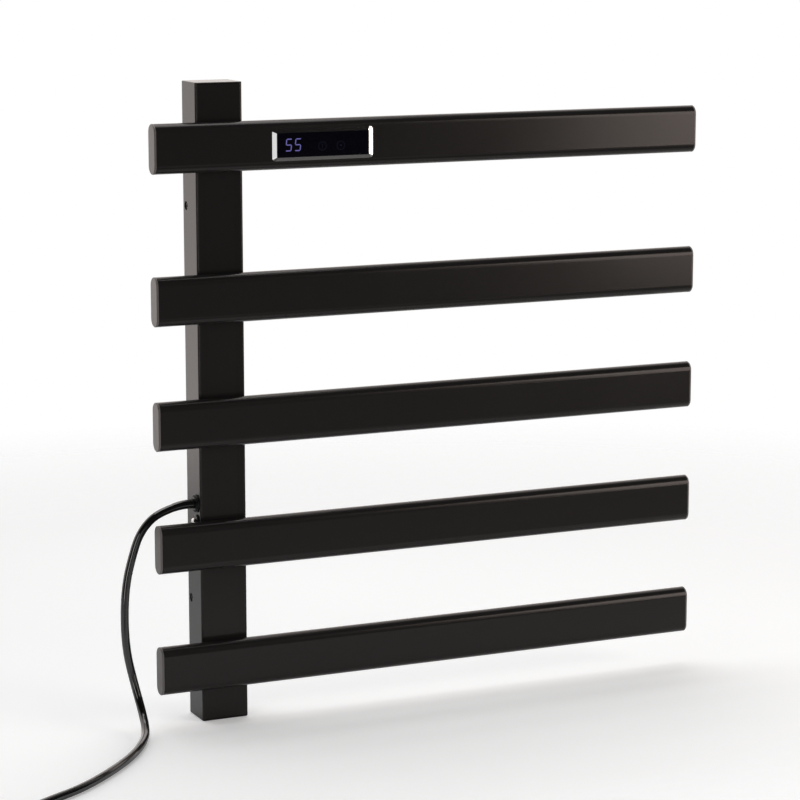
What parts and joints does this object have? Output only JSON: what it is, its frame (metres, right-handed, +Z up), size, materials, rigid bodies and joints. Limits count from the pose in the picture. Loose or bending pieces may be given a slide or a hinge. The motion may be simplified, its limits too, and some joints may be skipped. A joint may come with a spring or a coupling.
{
  "type": "towel warmer rack",
  "caption": "Wall-mounted electric towel warmer: a rectangular post on two wall stubs carries flat-oval heated bars, with a touch display in the top bar and a mains cord.",
  "frame": {"origin": "on the wall, on the centre line of the post, midway between the two wall screws", "axes": "+X to the right along the bars as seen from the room, +Y into the wall, +Z up"},
  "size_m": [0.8595, 0.4485, 0.656],
  "materials": {
    "black_enamel": "high-gloss black enamel",
    "chrome_trim": "polished",
    "dark_window": "smooth dark tint",
    "black_moulding": "moulded, semi-gloss",
    "lit_segments": "lit from inside",
    "cord_rubber": "smooth, glossy sheath",
    "grommet_rubber": "matt",
    "bright_steel": "zinc plated",
    "plug_brass": "nickel-plated brass",
    "board_green": "solder mask",
    "wire_sleeve": "insulation",
    "sensor_metal": "satin"
  },
  "bodies": {
    "root": {"bar_fixing_bolts": "bright_steel", "bar_left_cap_1": "black_enamel", "bar_left_cap_2": "black_enamel", "bar_left_cap_3": "black_enamel", "bar_left_cap_4": "black_enamel", "bar_left_cap_5": "black_enamel", "bar_nut_plates": "bright_steel", "bar_right_cap_1": "black_enamel", "bar_right_cap_2": "black_enamel", "bar_right_cap_3": "black_enamel", "bar_right_cap_4": "black_enamel", "bar_right_cap_5": "black_enamel", "bar_supply_loom": "wire_sleeve", "bar_tube_1": "black_enamel", "bar_tube_2": "black_enamel", "bar_tube_3": "black_enamel", "bar_tube_4": "black_enamel", "bar_tube_5": "black_enamel", "board_terminal_strip": "black_moulding", "bracket_clamp_bushes": "bright_steel", "bracket_set_screws": "bright_steel", "cable_gland": "black_moulding", "control_board": "board_green", "control_carrier": "black_moulding", "control_ribbon": "wire_sleeve", "cord_coil": "cord_rubber", "display_bezel": "chrome_trim", "display_window": "dark_window", "earth_cup_washer": "black_moulding", "earth_nut": "bright_steel", "earth_screw": "chrome_trim", "feed_wires": "wire_sleeve", "gland_lock_nut": "black_moulding", "heater_splices": "wire_sleeve", "heating_cables": "wire_sleeve", "inner_mains_lead": "cord_rubber", "led_digit_module": "black_moulding", "lit_digits": "lit_segments", "mains_cores": "wire_sleeve", "plug_body": "black_moulding", "plug_pins": "plug_brass", "post_back_cover": "black_enamel", "post_bottom_cap": "black_enamel", "post_channel": "black_enamel", "post_top_cap": "black_enamel", "power_board": "board_green", "power_board_standoffs": "bright_steel", "power_capacitor": "sensor_metal", "power_cord": "cord_rubber", "power_relay": "black_moulding", "power_transformer": "bright_steel", "strain_relief": "cord_rubber", "temperature_sensor": "sensor_metal", "terminal_block": "black_moulding", "thermal_cutout": "sensor_metal", "top_bar_heating_cable": "wire_sleeve", "top_bar_supply": "wire_sleeve", "touch_key_pads": "bright_steel", "wall_brackets": "chrome_trim", "wire_grommets": "grommet_rubber"}
  },
  "joints": []
}
